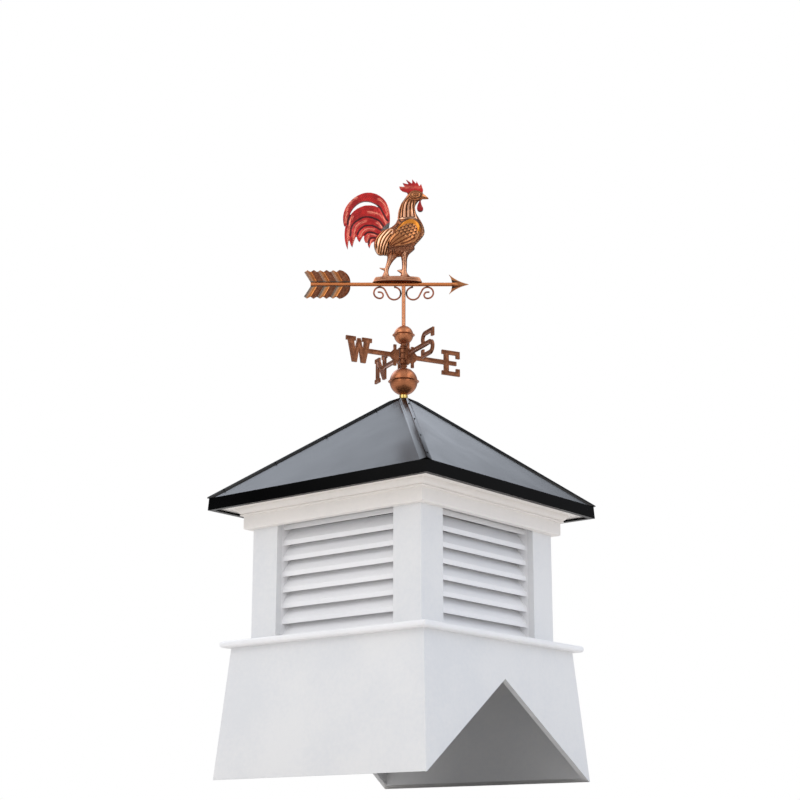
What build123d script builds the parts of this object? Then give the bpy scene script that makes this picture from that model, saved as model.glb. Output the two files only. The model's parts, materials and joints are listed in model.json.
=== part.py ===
from build123d import *
import os
from math import atan, cos, degrees, hypot, radians, sin, sqrt, tan

# A barn cupola: battered base cut to straddle a ridge, louvred storey with corner posts, bed moulding,
# folded metal pyramid roof with hip caps, and a rooster weathervane that turns on its rod.
# Origin at the centre of the base, level with its lowest edge. X runs along the barn's ridge, Z is up.

os.makedirs("parts", exist_ok=True)

# Base
base_foot_width = 712.0
base_top_width = 657.0
base_height = 346.0
wall_thickness = 16.0
saddle_angle = 35.0  # pitch of the barn roof under the base
foot_land = 3.0  # level strip left along the front and back lower edges

# Sill
sill_width = 702.0
sill_thickness = 17.0
sill_nose_radius = 7.0
sill_opening = 500.0

# Louvred storey
storey_width = 584.0
storey_height = 364.0
post_face = 90.0
post_thickness = 19.0
post_edge_radius = 2.0
stile_width = 18.0
stile_depth = 50.0
stile_seat = 0.3
slat_count = 8
slat_recess = 6.0  # nose of each slat behind the back of the posts
slat_nose = 13.0
slat_thickness = 9.0
slat_angle = 52.0
slat_edge_radius = 1.0
slat_lap = 5.0
top_slat_drop = 8.5  # first slat's nose below the frieze
rail_thickness = 20.0

# Frieze, bed moulding and soffit
frieze_thickness = 19.0
frieze_height = 37.0
frieze_edge_radius = 3.0
moulding_height = 21.0
moulding_reach = 17.0
bead_height = 5.0
bead_reach = 6.5
soffit_opening = 500.0
soffit_height = 40.0

# Roof
eave_width = 762.0
eave_flare = 2.0  # the fascia leans out by this much at its foot
fascia_height = 34.0
fascia_lip = 7.0  # the fascia hangs this far below the soffit
fascia_return = 12.0
roof_rise = 308.0  # fascia top up to the point where the four planes would meet
roof_sheet = 2.0
soffit_gap = 0.3
cap_sheet = 2.0
cap_seat = 0.3
cap_half_width = 15.0
cap_blunting = 12.2  # the caps' flat top below the point where their ridges would meet
cap_flat = 26.0  # width of the flat top, measured along the hips
cap_bend_reach = 30.0  # the caps are bent flatter at this distance from the axis
peak_block_height = 90.0

# Rod, globes and hub
rod_diameter = 8.0
rod_tail = 130.0  # length of the rod below the cap plates
rod_clearance = 0.1
collar_diameter = 24.0
collar_height = 11.6
lower_globe_diameter = 79.0
upper_globe_diameter = 55.3
globe_wall = 1.5
globe_rim_reach = 4.5
globe_rim_height = 5.5
globe_seat = 1.0  # depth of the dimple where a globe sits on a collar
hub_height = 72.5
hub_radius = 13.0
hub_bead = 2.5
hub_neck_radius = 8.0

# Compass letters
letter_height = 74.0
letter_stroke = 15.0
letter_serif = 7.0
letter_reach = 181.0
letter_thickness = 6.0
arm_height = 13.0
bracket_height = 62.0
bracket_depth = 16.0
bracket_tab = 8.0
bracket_gap = 0.3
north_heading = 156.0

# Vane
arrow_heading = 39.0
tube_diameter = 11.0
spindle_clearance = 0.3
tube_foot_gap = 1.0
tube_length = 119.5
tube_cap = 4.0  # solid end of the tube above the rod's tip
shaft_diameter = 11.0
shaft_tail = 267.0
shaft_nose = 138.5
joint_gap = 0.1
arrow_tip = 188.0
barb_setback = 59.0
barb_half_height = 31.0
head_thickness = 6.0
socket_radius = 7.5
feather_count = 6
feather_pitch = 18.5
feather_start = 286.0
feather_sweep = 20.0
feather_half_height = 43.0
feather_notch = 6.0
feather_thickness = 5.0
band_lift = 1.5  # every second band of the feather block stands proud by this much
scroll_bar = 5.0
scroll_big_radius = 19.0
scroll_end_radius = 17.0
scroll_curl_radius = 9.5
scroll_spread = 41.0
scroll_tip = 6.0
scroll_gap = 0.3

# Rooster
rooster_scale = 1.0
mound_length = 144.0
mound_height = 17.0
mound_width = 40.0
mound_offset = -18.0
wing_lift = 3.5  # the wing stands out of the body's side by this much
tail_thickness = 10.0
tail_step = 1.5  # each feather is thinner than the one outside it
comb_thickness = 5.0

# Levels and half widths that follow from the sizes above
sill_top = base_height + sill_thickness
soffit_level = sill_top + storey_height
moulding_level = soffit_level - moulding_height
frieze_level = moulding_level - frieze_height
storey_half = storey_width / 2
opening_half = storey_half - post_face
foot_half = base_foot_width / 2
top_half = base_top_width / 2
fascia_level = soffit_level - fascia_lip
eave_level = fascia_level + fascia_height
eave_half = eave_width / 2 - eave_flare
roof_slope = roof_rise / eave_half
roof_pitch = degrees(atan(roof_slope))
apex_level = eave_level + roof_rise
saddle_rise = (foot_half - foot_land) * tan(radians(saddle_angle))

sides = {"front": 0, "right": 90, "back": 180, "left": 270}
corners = {"front_right": -45, "back_right": 45, "back_left": 135, "front_left": 225}


def side_sector(turn, reach):
    """Triangle in plan that holds one side of the square building."""
    with BuildSketch(Plane.XY.rotated((0, 0, turn))) as sector:
        with BuildLine():
            Polyline((0, 0), (reach, -reach), (-reach, -reach), close=True)
        make_face()
    return sector.sketch


def pyramid(apex, low, high):
    """Solid under four roof planes that meet at the apex level, between two levels."""
    with BuildPart() as body:
        for level in (low, high):
            with BuildSketch(Plane.XY.offset(level)):
                Rectangle(2 * (apex - level) / roof_slope, 2 * (apex - level) / roof_slope)
        loft()
    return body.part


# Base walls
with BuildPart() as base_shell:
    for level, half in ((0, foot_half), (base_height, top_half)):
        with BuildSketch(Plane.XY.offset(level)):
            Rectangle(2 * half, 2 * half)
    loft()
    for level, half in ((0, foot_half), (base_height, top_half)):
        with BuildSketch(Plane.XY.offset(level)):
            Rectangle(2 * (half - wall_thickness), 2 * (half - wall_thickness))
    loft(mode=Mode.SUBTRACT)
    with BuildSketch(Plane.YZ):
        with BuildLine():
            Polyline((foot_land - foot_half, 0), (0, saddle_rise), (foot_half - foot_land, 0), close=True)
        make_face()
    extrude(amount=base_foot_width, both=True, mode=Mode.SUBTRACT)

for side, turn in sides.items():
    with BuildPart() as base_wall:
        add(base_shell.part)
        add(side_sector(turn, base_foot_width))
        extrude(amount=base_height, mode=Mode.INTERSECT)
    base_wall.part.label = f"base_{side}_wall"
    export_step(base_wall.part, f"parts/base_{side}_wall.step")

# Sill
with BuildPart() as sill:
    with BuildSketch(Plane.XY.offset(base_height)):
        Rectangle(sill_width, sill_width)
        Rectangle(sill_opening, sill_opening, mode=Mode.SUBTRACT)
    extrude(amount=sill_thickness)
    nose = sill.edges().filter_by(lambda edge: abs(edge.length - sill_width) < 1)
    fillet(nose, radius=sill_nose_radius)
sill.part.label = "sill"
export_step(sill.part, "parts/sill.step")

# Corner posts
for corner, turn in corners.items():
    with BuildPart() as post:
        with BuildSketch(Plane.XY.offset(sill_top).rotated((0, 0, turn + 45))):
            with Locations((storey_half, -storey_half)):
                Rectangle(post_face, post_face, align=(Align.MAX, Align.MIN))
            with Locations((storey_half - post_thickness, post_thickness - storey_half)):
                Rectangle(post_face, post_face, align=(Align.MAX, Align.MIN), mode=Mode.SUBTRACT)
        extrude(amount=storey_height)
        outwards = Axis((0, 0, 0), (cos(radians(turn)), sin(radians(turn)), 0))
        fillet(post.edges().filter_by(Axis.Z).sort_by(outwards)[-1], radius=post_edge_radius)
    post.part.label = f"{corner}_post"
    export_step(post.part, f"parts/{corner}_post.step")

# Louvre panels
post_back = storey_half - post_thickness - stile_seat
slat_pitch = (frieze_level - top_slat_drop - sill_top) / (slat_count - 1)
slat_rise = slat_pitch + slat_lap
slat_run = (slat_rise - slat_nose) / tan(radians(slat_angle))
slat_width = slat_thickness / sin(radians(slat_angle))
slat_heel = slat_width - slat_nose / tan(radians(slat_angle))

for side, turn in sides.items():
    with BuildPart() as louvre:
        with BuildSketch(Plane.XY.offset(sill_top).rotated((0, 0, turn))):
            for x in (-opening_half - stile_width / 2, opening_half + stile_width / 2):
                with Locations((x, -post_back)):
                    Rectangle(stile_width, stile_depth, align=(Align.CENTER, Align.MIN))
        extrude(amount=storey_height)
        profile_plane = Plane.YZ.offset(-opening_half)
        turned = Plane(
            origin=profile_plane.origin.rotate(Axis.Z, turn),
            x_dir=profile_plane.x_dir.rotate(Axis.Z, turn),
            z_dir=profile_plane.z_dir.rotate(Axis.Z, turn),
        )
        with BuildSketch(turned) as slat_profile:
            nose_y = slat_recess - post_back
            for row in range(slat_count):
                nose_z = sill_top + row * slat_pitch
                with BuildLine():
                    Polyline(
                        (nose_y, nose_z),
                        (nose_y, nose_z + slat_nose),
                        (nose_y + slat_run, nose_z + slat_rise),
                        (nose_y + slat_run + slat_width, nose_z + slat_rise),
                        (nose_y + slat_heel, nose_z),
                        close=True,
                    )
                make_face()
            noses = slat_profile.sketch_local.vertices().group_by(Axis.X)[0]
            fillet(noses, radius=slat_edge_radius)
            with Locations((nose_y, soffit_level)):
                Rectangle(rail_thickness, moulding_height + frieze_height / 2, align=(Align.MIN, Align.MAX))
        extrude(amount=2 * opening_half)
    louvre.part.label = f"{side}_louvre"
    export_step(louvre.part, f"parts/{side}_louvre.step")

# Frieze
with BuildPart() as frieze:
    with BuildSketch(Plane.XY.offset(frieze_level)):
        Rectangle(storey_width + 2 * frieze_thickness, storey_width + 2 * frieze_thickness)
        Rectangle(storey_width, storey_width, mode=Mode.SUBTRACT)
    extrude(amount=frieze_height)
    foot = frieze.edges().group_by(Axis.Z)[0].filter_by(lambda edge: edge.length > storey_width + 1)
    fillet(foot, radius=frieze_edge_radius)
frieze.part.label = "frieze"
export_step(frieze.part, "parts/frieze.step")

# Bed moulding: a small bead under a cove
frieze_half = storey_half + frieze_thickness
with BuildPart() as bed_moulding:
    with BuildLine():
        Polyline(
            (storey_half, -storey_half, moulding_level),
            (storey_half, storey_half, moulding_level),
            (-storey_half, storey_half, moulding_level),
            (-storey_half, -storey_half, moulding_level),
            close=True,
        )
    with BuildSketch(Plane.XZ):
        with BuildLine():
            bead_edge = frieze_half + bead_reach
            lip_edge = frieze_half + moulding_reach
            cove_level = moulding_level + bead_height
            Polyline((bead_edge, moulding_level), (storey_half, moulding_level), (storey_half, soffit_level),
                     (lip_edge, soffit_level))
            RadiusArc((lip_edge, soffit_level), (bead_edge - 1, cove_level), moulding_height)
            ThreePointArc((bead_edge - 1, cove_level), (bead_edge + 1, moulding_level + bead_height / 2),
                          (bead_edge, moulding_level))
        make_face()
    sweep(transition=Transition.RIGHT)
bed_moulding.part.label = "bed_moulding"
export_step(bed_moulding.part, "parts/bed_moulding.step")

# Soffit with the eave framing above it
sheet_drop = roof_sheet / cos(radians(roof_pitch))
with BuildPart() as soffit:
    add(pyramid(apex_level - sheet_drop - soffit_gap, eave_level, eave_level + soffit_height))
    with BuildSketch(Plane.XY.offset(soffit_level)):
        Rectangle(2 * (eave_half - 2 * roof_sheet), 2 * (eave_half - 2 * roof_sheet))
    extrude(amount=eave_level - soffit_level)
    with BuildSketch(Plane.XY.offset(soffit_level)):
        Rectangle(2 * eave_width, 2 * eave_width)
    extrude(amount=soffit_height, mode=Mode.INTERSECT)
    with BuildSketch(Plane.XY.offset(soffit_level)):
        Rectangle(soffit_opening, soffit_opening)
    extrude(amount=soffit_height, mode=Mode.SUBTRACT)
soffit.part.label = "soffit"
export_step(soffit.part, "parts/soffit.step")

# Roof panels, each with its fascia and return folded from one sheet
cap_drop = cap_seat / cos(radians(roof_pitch))
cap_outer_apex = apex_level + (cap_seat + cap_sheet) / cos(radians(roof_pitch))
cap_top = cap_outer_apex - cap_blunting
bend_level = cap_outer_apex - cap_bend_reach / sqrt(2) * roof_slope
crown_slope = (cap_top - bend_level) / (cap_bend_reach - cap_flat / 2)
skin_top = bend_level - cap_sheet - cap_seat
with BuildPart() as roof_skin:
    add(pyramid(apex_level, eave_level, skin_top))
    for level, half in ((fascia_level, eave_half + eave_flare), (eave_level, eave_half)):
        with BuildSketch(Plane.XY.offset(level)):
            Rectangle(2 * half, 2 * half)
    loft()
    add(pyramid(apex_level - sheet_drop, eave_level, apex_level - sheet_drop - 1), mode=Mode.SUBTRACT)
    inner_half = eave_half - sheet_drop / roof_slope
    fold_half = eave_half + eave_flare - roof_sheet
    for level, half in ((fascia_level + roof_sheet, fold_half), (eave_level, inner_half)):
        with BuildSketch(Plane.XY.offset(level)):
            Rectangle(2 * half, 2 * half)
    loft(mode=Mode.SUBTRACT)
    with BuildSketch(Plane.XY.offset(fascia_level)):
        Rectangle(2 * (fold_half - fascia_return), 2 * (fold_half - fascia_return))
    extrude(amount=roof_sheet, mode=Mode.SUBTRACT)

for side, turn in sides.items():
    with BuildPart() as roof_panel:
        add(roof_skin.part)
        add(side_sector(turn, eave_width))
        extrude(amount=2 * apex_level, mode=Mode.INTERSECT)
    roof_panel.part.label = f"{side}_roof_panel"
    export_step(roof_panel.part, f"parts/{side}_roof_panel.step")



def capped_pyramid(apex, top):
    """Solid under the four roof planes whose hips are bent flatter near the top."""
    with BuildPart() as body:
        add(pyramid(apex, eave_level, top))
        for level in (eave_level, top):
            with BuildSketch(Plane.XY.offset(level).rotated((0, 0, 45))):
                width = cap_flat + 2 * (top - level) / crown_slope
                Rectangle(width, width)
        loft(mode=Mode.INTERSECT)
    return body.part


# Hip caps, folded strips that meet in mitres round a small flat top
rod_hole = rod_diameter / 2 + rod_clearance
with BuildPart() as cap_skin:
    add(capped_pyramid(cap_outer_apex, cap_top))
    add(capped_pyramid(apex_level + cap_drop, cap_top - cap_sheet), mode=Mode.SUBTRACT)
    with BuildSketch(Plane.XY.offset(skin_top)):
        Circle(rod_hole)
    extrude(amount=cap_outer_apex - skin_top, mode=Mode.SUBTRACT)

for corner, turn in corners.items():
    with BuildPart() as hip_cap:
        add(cap_skin.part)
        with BuildSketch(Plane.XY.rotated((0, 0, turn))):
            with BuildLine():
                Polyline(
                    (0, 0),
                    (cap_half_width, cap_half_width),
                    (eave_width, cap_half_width),
                    (eave_width, -cap_half_width),
                    (cap_half_width, -cap_half_width),
                    close=True,
                )
            make_face()
        extrude(amount=2 * apex_level, mode=Mode.INTERSECT)
    hip_cap.part.label = f"{corner}_hip_cap"
    export_step(hip_cap.part, f"parts/{corner}_hip_cap.step")

# Peak block that holds the rod inside the roof
with BuildPart() as peak_block:
    add(pyramid(apex_level - sheet_drop - soffit_gap, skin_top - peak_block_height, skin_top - sheet_drop))
    with BuildSketch(Plane.XY.offset(skin_top - peak_block_height)):
        Circle(rod_hole)
    extrude(amount=peak_block_height, mode=Mode.SUBTRACT)
peak_block.part.label = "peak_block"
export_step(peak_block.part, "parts/peak_block.step")

# Brass collar
with BuildPart() as brass_collar:
    with BuildSketch(Plane.XY.offset(cap_top)):
        Circle(collar_diameter / 2)
        Circle(rod_hole, mode=Mode.SUBTRACT)
    extrude(amount=collar_height)
    chamfer(brass_collar.edges().group_by(Axis.Z)[-1].sort_by(SortBy.RADIUS)[-1], length=collar_height / 5)
brass_collar.part.label = "brass_collar"
export_step(brass_collar.part, "parts/brass_collar.step")


def globe(diameter, bottom):
    """Hollow spun globe with a sharp seam round its middle and a flat foot and crown."""
    radius = diameter / 2
    middle = bottom + radius - globe_seat
    reach = radius + globe_rim_reach
    with BuildPart() as ball:
        with BuildSketch(Plane.XZ):
            with Locations((0, middle)):
                Circle(radius)
                Circle(radius - globe_wall, mode=Mode.SUBTRACT)
            with BuildLine():
                Polyline(
                    (radius - globe_wall / 2, middle - globe_rim_height / 2),
                    (reach, middle),
                    (radius - globe_wall / 2, middle + globe_rim_height / 2),
                    close=True,
                )
            make_face()
            with Locations((rod_hole, middle)):
                Rectangle(reach, diameter - 2 * globe_seat, align=(Align.MIN, Align.CENTER),
                          mode=Mode.INTERSECT)
        revolve(axis=Axis.Z)
    return ball


# Globes, hub and rod
globe_level = cap_top + collar_height
lower_globe = globe(lower_globe_diameter, globe_level)
lower_globe.part.label = "lower_globe"
export_step(lower_globe.part, "parts/lower_globe.step")

hub_level = globe_level + lower_globe_diameter - 2 * globe_seat
hub_middle = hub_level + hub_height / 2
with BuildPart() as compass_hub:
    with BuildSketch(Plane.XZ):
        with Locations((0, hub_middle)):
            Rectangle(2 * hub_radius, 0.6 * hub_height)
            for z in (-0.3 * hub_height, -0.12 * hub_height, 0.12 * hub_height, 0.3 * hub_height):
                with Locations((0, z)):
                    SlotOverall(2 * (hub_radius + hub_bead), 2 * hub_bead)
            Rectangle(2 * hub_neck_radius, hub_height)
            for z in (-0.41 * hub_height, 0.41 * hub_height):
                with Locations((0, z)):
                    SlotOverall(2 * (hub_neck_radius + hub_bead), 2 * hub_bead)
            Rectangle(2 * rod_hole, hub_height, mode=Mode.SUBTRACT)
        split(bisect_by=Plane.YZ, keep=Keep.TOP)
    revolve(axis=Axis.Z)
compass_hub.part.label = "compass_hub"
export_step(compass_hub.part, "parts/compass_hub.step")

upper_globe_level = hub_level + hub_height
upper_globe = globe(upper_globe_diameter, upper_globe_level)
upper_globe.part.label = "upper_globe"
export_step(upper_globe.part, "parts/upper_globe.step")

upper_globe_top = upper_globe_level + upper_globe_diameter - 2 * globe_seat
tube_foot = upper_globe_top + tube_foot_gap
tube_top = tube_foot + tube_length
bore_top = tube_top - tube_cap
with BuildPart() as rod:
    with BuildSketch(Plane.XY.offset(cap_top - rod_tail)):
        Circle(rod_diameter / 2)
    extrude(amount=bore_top - spindle_clearance - cap_top + rod_tail)
rod.part.label = "rod"
export_step(rod.part, "parts/rod.step")


def radial_plane(heading, level):
    """Upright plane through the axis: local X points outwards along the heading, local Y up."""
    return Plane(
        origin=(0, 0, level),
        x_dir=(cos(radians(heading)), sin(radians(heading)), 0),
        z_dir=(sin(radians(heading)), -cos(radians(heading)), 0),
    )


def letter_shape(letter, width):
    """Slab-serif capital in a box centred on the origin."""
    rise = letter_height / 2
    side = width / 2
    bar = letter_stroke * 0.8
    with BuildSketch() as glyph:
        if letter == "E":
            with Locations((-side + letter_serif + letter_stroke / 2, 0)):
                Rectangle(letter_stroke, letter_height)
            for sign in (-1, 1):
                with Locations((0, sign * (rise - bar / 2))):
                    Rectangle(width, bar)
                with Locations((side - bar / 2, sign * (rise - bar))):
                    Rectangle(bar, bar * 1.6)
            with Locations((letter_serif / 2, 0)):
                Rectangle(width / 2, bar)
        if letter == "N":
            for x in (-side + letter_serif + letter_stroke / 2, side - letter_serif - letter_stroke / 2):
                with Locations((x, 0)):
                    Rectangle(letter_stroke, letter_height)
            with BuildLine():
                stem = letter_serif + letter_stroke
                Polyline((-side + letter_serif, rise), (-side + stem, rise), (side - letter_serif, -rise),
                         (side - stem, -rise), close=True)
            make_face()
            foot = letter_stroke + 2 * letter_serif
            for x, y in ((-side, rise - bar), (-side, -rise), (side - foot, rise - bar)):
                with Locations((x, y)):
                    Rectangle(foot, bar, align=(Align.MIN, Align.MIN))
        if letter == "W":
            foot = width * 0.2
            for sign in (-1, 1):
                with BuildLine():
                    Polyline((sign * (side - letter_serif / 2), rise), (sign * foot * 1.3, -rise),
                             (sign * foot * 0.4, -rise), (sign * (side - letter_stroke * 1.5), rise),
                             close=True)
                make_face()
                with BuildLine():
                    Polyline((-sign * letter_stroke / 3, rise * 0.9), (sign * letter_stroke / 3, rise * 0.9),
                             (sign * foot * 1.3, -rise), (sign * foot * 0.4, -rise), close=True)
                make_face()
                with Locations((sign * (side - letter_stroke), rise)):
                    Rectangle(letter_stroke * 2, bar, align=(Align.CENTER, Align.MAX))
        if letter == "S":
            bowl = (letter_height + bar) / 4
            for sign in (-1, 1):
                middle = sign * (rise - bowl)
                outer = bowl - bar / 2
                run = side - bowl
                with BuildLine():
                    Line((sign * (side - bar), middle + sign * outer), (-sign * run, middle + sign * outer))
                    ThreePointArc((-sign * run, middle + sign * outer), (-sign * (run + outer), middle),
                                  (-sign * run, middle - sign * outer))
                    Line((-sign * run, middle - sign * outer), (0, middle - sign * outer))
                trace(line_width=bar)
                with Locations((sign * (side - bar / 2), sign * (rise - bar))):
                    Rectangle(bar, bar * 2)
    return glyph.sketch


# Compass letters on their arms
letters = {
    "north": ("N", 0, 74.0),
    "east": ("E", -90, 58.0),
    "south": ("S", -180, 70.0),
    "west": ("W", -270, 80.0),
}
bracket_inner = hub_radius + hub_bead + bracket_gap
for name, (letter, turn, width) in letters.items():
    with BuildPart() as compass_arm:
        with BuildSketch(radial_plane(north_heading + turn, hub_middle)):
            with Locations((bracket_inner, 0)):
                bar_length = letter_reach - width * 0.6 - bracket_inner
                Rectangle(bar_length, arm_height, align=(Align.MIN, Align.CENTER))
                Rectangle(bracket_depth, bracket_height * 0.55, align=(Align.MIN, Align.CENTER))
            with Locations((bracket_inner + bracket_depth, 0)):
                Rectangle(bracket_tab, bracket_height, align=(Align.MAX, Align.CENTER))
            with BuildLine():
                flare = bracket_inner + bracket_depth
                Polyline((flare, bracket_height * 0.275), (flare + bracket_depth, 0),
                         (flare, -bracket_height * 0.275), close=True)
            make_face()
            with Locations((letter_reach - width / 2, 0)):
                glyph = letter_shape(letter, width)
                add(glyph if letter in "ES" else mirror(glyph, about=Plane.YZ, mode=Mode.PRIVATE))
        extrude(amount=letter_thickness / 2, both=True)
    compass_arm.part.label = f"{name}_arm"
    export_step(compass_arm.part, f"parts/{name}_arm.step")

# Vane: tube, shaft, arrow head and feathers
shaft_level = tube_top + joint_gap + shaft_diameter / 2
vane_plane = radial_plane(arrow_heading, shaft_level)
with BuildPart() as spindle_tube:
    with BuildSketch(Plane.XY.offset(tube_foot)):
        Circle(tube_diameter / 2)
    extrude(amount=tube_length)
    with BuildSketch(Plane.XY.offset(tube_foot)):
        Circle(rod_diameter / 2 + spindle_clearance)
    extrude(amount=bore_top - tube_foot, mode=Mode.SUBTRACT)
spindle_tube.part.label = "spindle_tube"
export_step(spindle_tube.part, "parts/spindle_tube.step")

cross_plane = Plane(origin=vane_plane.origin, x_dir=(0, 0, 1), z_dir=vane_plane.x_dir)
with BuildPart() as arrow_shaft:
    with BuildSketch(cross_plane.offset(-shaft_tail)):
        Circle(shaft_diameter / 2)
    extrude(amount=shaft_tail + shaft_nose)
arrow_shaft.part.label = "arrow_shaft"
export_step(arrow_shaft.part, "parts/arrow_shaft.step")

head_root = shaft_nose + joint_gap
with BuildPart() as arrow_head:
    with BuildSketch(vane_plane):
        for sign in (-1, 1):
            with BuildLine():
                barb = (arrow_tip - barb_setback, sign * barb_half_height)
                root = (head_root, sign * shaft_diameter / 2)
                front = (arrow_tip - barb_setback / 2, sign * 0.32 * barb_half_height)
                ThreePointArc((arrow_tip, 0), front, barb)
                ThreePointArc(barb, (head_root - 2, sign * 0.55 * barb_half_height), root)
                Polyline(root, (head_root, 0), (arrow_tip, 0))
            make_face()
    extrude(amount=head_thickness / 2, both=True)
    with BuildSketch(vane_plane):
        with BuildLine():
            socket_tip = (arrow_tip - barb_setback / 3, 0)
            Polyline((head_root, 0), (head_root, socket_radius), socket_tip, close=True)
        make_face()
    revolve(axis=Axis(vane_plane.origin, vane_plane.x_dir))
arrow_head.part.label = "arrow_head"
export_step(arrow_head.part, "parts/arrow_head.step")

with BuildPart() as arrow_feathers:
    with BuildSketch(vane_plane) as feather_block:
        for sign in (-1, 1):
            edge = sign * (shaft_diameter / 2 - 1)
            tip = sign * feather_half_height
            valley = sign * (feather_half_height - feather_notch)
            crest = []
            for row in range(feather_count - 1):
                left = row * feather_pitch - feather_start
                crest += [(left, valley), (left + feather_pitch / 2, tip)]
            last = (feather_count - 1) * feather_pitch - feather_start
            with BuildLine():
                Polyline((feather_sweep - feather_start, edge), *crest, (last, valley))
                Line((last, valley), (last + feather_pitch / 2, tip))
                ThreePointArc((last + feather_pitch / 2, tip), (last + 1.75 * feather_pitch, 0.7 * tip),
                              (last + 2.2 * feather_pitch, edge))
                Line((last + 2.2 * feather_pitch, edge), (feather_sweep - feather_start, edge))
            make_face()
    extrude(amount=feather_thickness / 2, both=True)
    with BuildSketch(vane_plane):
        for sign in (-1, 1):
            for row in range(1, feather_count, 2):
                left = row * feather_pitch - feather_start
                right = left + feather_pitch
                tip = sign * feather_half_height
                slant = feather_sweep * feather_half_height / (feather_half_height - feather_notch)
                with BuildLine():
                    Polyline((left, tip), (right, tip), (right + slant, 0), (left + slant, 0), close=True)
                make_face()
        add(feather_block.sketch_local, mode=Mode.INTERSECT)
    extrude(amount=feather_thickness / 2 + band_lift, both=True)
    with BuildSketch(cross_plane.offset(-shaft_tail - feather_sweep)):
        Circle(shaft_diameter / 2 + joint_gap)
    extrude(amount=2 * shaft_tail, mode=Mode.SUBTRACT)
arrow_feathers.part.label = "arrow_feathers"
export_step(arrow_feathers.part, "parts/arrow_feathers.step")

# Scrolls in the angle between tube and shaft
bar_radius = scroll_bar / 2
shaft_bottom = -shaft_diameter / 2
big_x = tube_diameter / 2 + scroll_gap + bar_radius + scroll_big_radius
big_y = shaft_bottom - scroll_gap - bar_radius - scroll_big_radius
end_x = big_x + scroll_spread
end_y = shaft_bottom - scroll_gap - bar_radius - scroll_end_radius
lean = degrees(atan((end_y - big_y) / scroll_spread))
span = sqrt(scroll_spread**2 + (end_y - big_y) ** 2)
both_radii = scroll_big_radius + scroll_end_radius
cross_angle = degrees(atan(both_radii / sqrt(span**2 - both_radii**2)))
leave = lean + cross_angle - 90
for name, sign in (("nose_scroll", 1), ("tail_scroll", -1)):
    with BuildPart() as scroll:
        with BuildLine(vane_plane) as bend:
            first = CenterArc((big_x, big_y), scroll_big_radius, 90, 270 + leave)
            meet_x = end_x - scroll_end_radius * cos(radians(leave))
            meet_y = end_y - scroll_end_radius * sin(radians(leave))
            Line(first @ 1, (meet_x, meet_y))
            CenterArc((end_x, end_y), scroll_end_radius, leave + 180, -(leave + 270))
            curl_y = end_y - scroll_end_radius + scroll_curl_radius
            CenterArc((end_x, curl_y), scroll_curl_radius, -90, -180)
            Line((end_x, curl_y + scroll_curl_radius), (end_x + scroll_tip, curl_y + scroll_curl_radius))
            if sign < 0:
                mirror(about=cross_plane, mode=Mode.REPLACE)
        with BuildSketch(Plane(origin=bend.wires()[0] @ 0, z_dir=bend.wires()[0] % 0)):
            Circle(bar_radius)
        sweep()
    scroll.part.label = name
    export_step(scroll.part, f"parts/{name}.step")

# Rooster, a swelled body on a mound; its points lie in the vane's own plane, above the top of the shaft
rooster_plane = radial_plane(arrow_heading, shaft_level + shaft_diameter / 2 + joint_gap)


def bird(*points):
    """Points of the bird, from sizes of the bird at full scale."""
    return [(x * rooster_scale, y * rooster_scale) for x, y in points]


def limb(ribs, swell=0.0):
    """Rounded body through oval ribs; a rib joins two points of the outline and has a half thickness."""
    with BuildPart() as body:
        for first, second, half_thickness in ribs:
            (x0, y0), (x1, y1) = bird(first, second)
            span = hypot(x1 - x0, y1 - y0)
            across = rooster_plane.x_dir * ((x1 - x0) / span) + rooster_plane.y_dir * ((y1 - y0) / span)
            middle = rooster_plane.from_local_coords(((x0 + x1) / 2, (y0 + y1) / 2))
            with BuildSketch(Plane(origin=middle, x_dir=across, z_dir=across.cross(rooster_plane.z_dir))):
                with BuildLine():
                    for start in (0, 90, 180, 270):
                        EllipticalCenterArc((0, 0), span / 2 + swell, half_thickness * rooster_scale + swell,
                                            start_angle=start, arc_size=90)
                make_face()
        loft()
    return body.part


trunk = (
    ((54, 277), (54, 257), 7),
    ((46, 282), (47, 252), 10),
    ((36, 284), (41, 248), 12),
    ((19, 279), (35, 237), 13),
    ((9, 267), (33, 234), 12),
    ((-7, 243), (34, 226), 12),
    ((-16, 215), (39, 208), 13),
    ((-18, 198), (47, 194), 17),
    ((-27, 177), (60, 165), 21),
    ((-43, 165), (58, 144), 24),
    ((-58, 160), (38, 119), 25),
    ((-72, 147), (16, 92), 24),
    ((-82, 132), (-12, 79), 21),
    ((-86, 116), (-42, 81), 16),
    ((-83, 99), (-60, 83), 10),
    ((-77, 88), (-68, 82), 4.5),
)
beak = (((54, 277), (54, 257), 7), ((64, 268), (64, 257), 4), ((73, 260), (73, 257), 1.5))
rear_leg = (
    ((-52, 104), (-4, 92), 14),
    ((-48, 84), (-17, 79), 11),
    ((-48, 67), (-31, 64), 7),
    ((-54, 42), (-42, 42), 5.5),
    ((-59, 26), (-43, 26), 7),
    ((-67, 14), (-35, 14), 11),
    ((-76, 9), (-24, 9), 14),
)
front_leg = (
    ((-12, 104), (30, 110), 14),
    ((-8, 80), (16, 86), 10),
    ((-5, 60), (10, 60), 6.5),
    ((-5, 40), (9, 38), 6),
    ((-8, 25), (12, 26), 7.5),
    ((-14, 16), (24, 16), 11),
    ((-22, 9), (44, 9), 14),
)
rear_spur = (((-52, 35), (-46, 44), 5), ((-62, 39), (-60, 44), 3), ((-70, 43.5), (-69.5, 45.5), 1))
front_spur = (((-6, 26), (-2, 40), 5), ((-14, 32), (-12, 39), 3), ((-19, 35.5), (-18.5, 38), 1))
wing_outline = (
    (-46, 103), (-33, 126), (-15, 152), (-3, 171), (13, 184), (30, 183),
    (43, 173), (45, 157), (37, 135), (25, 119), (8, 105), (-18, 101),
)

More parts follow.
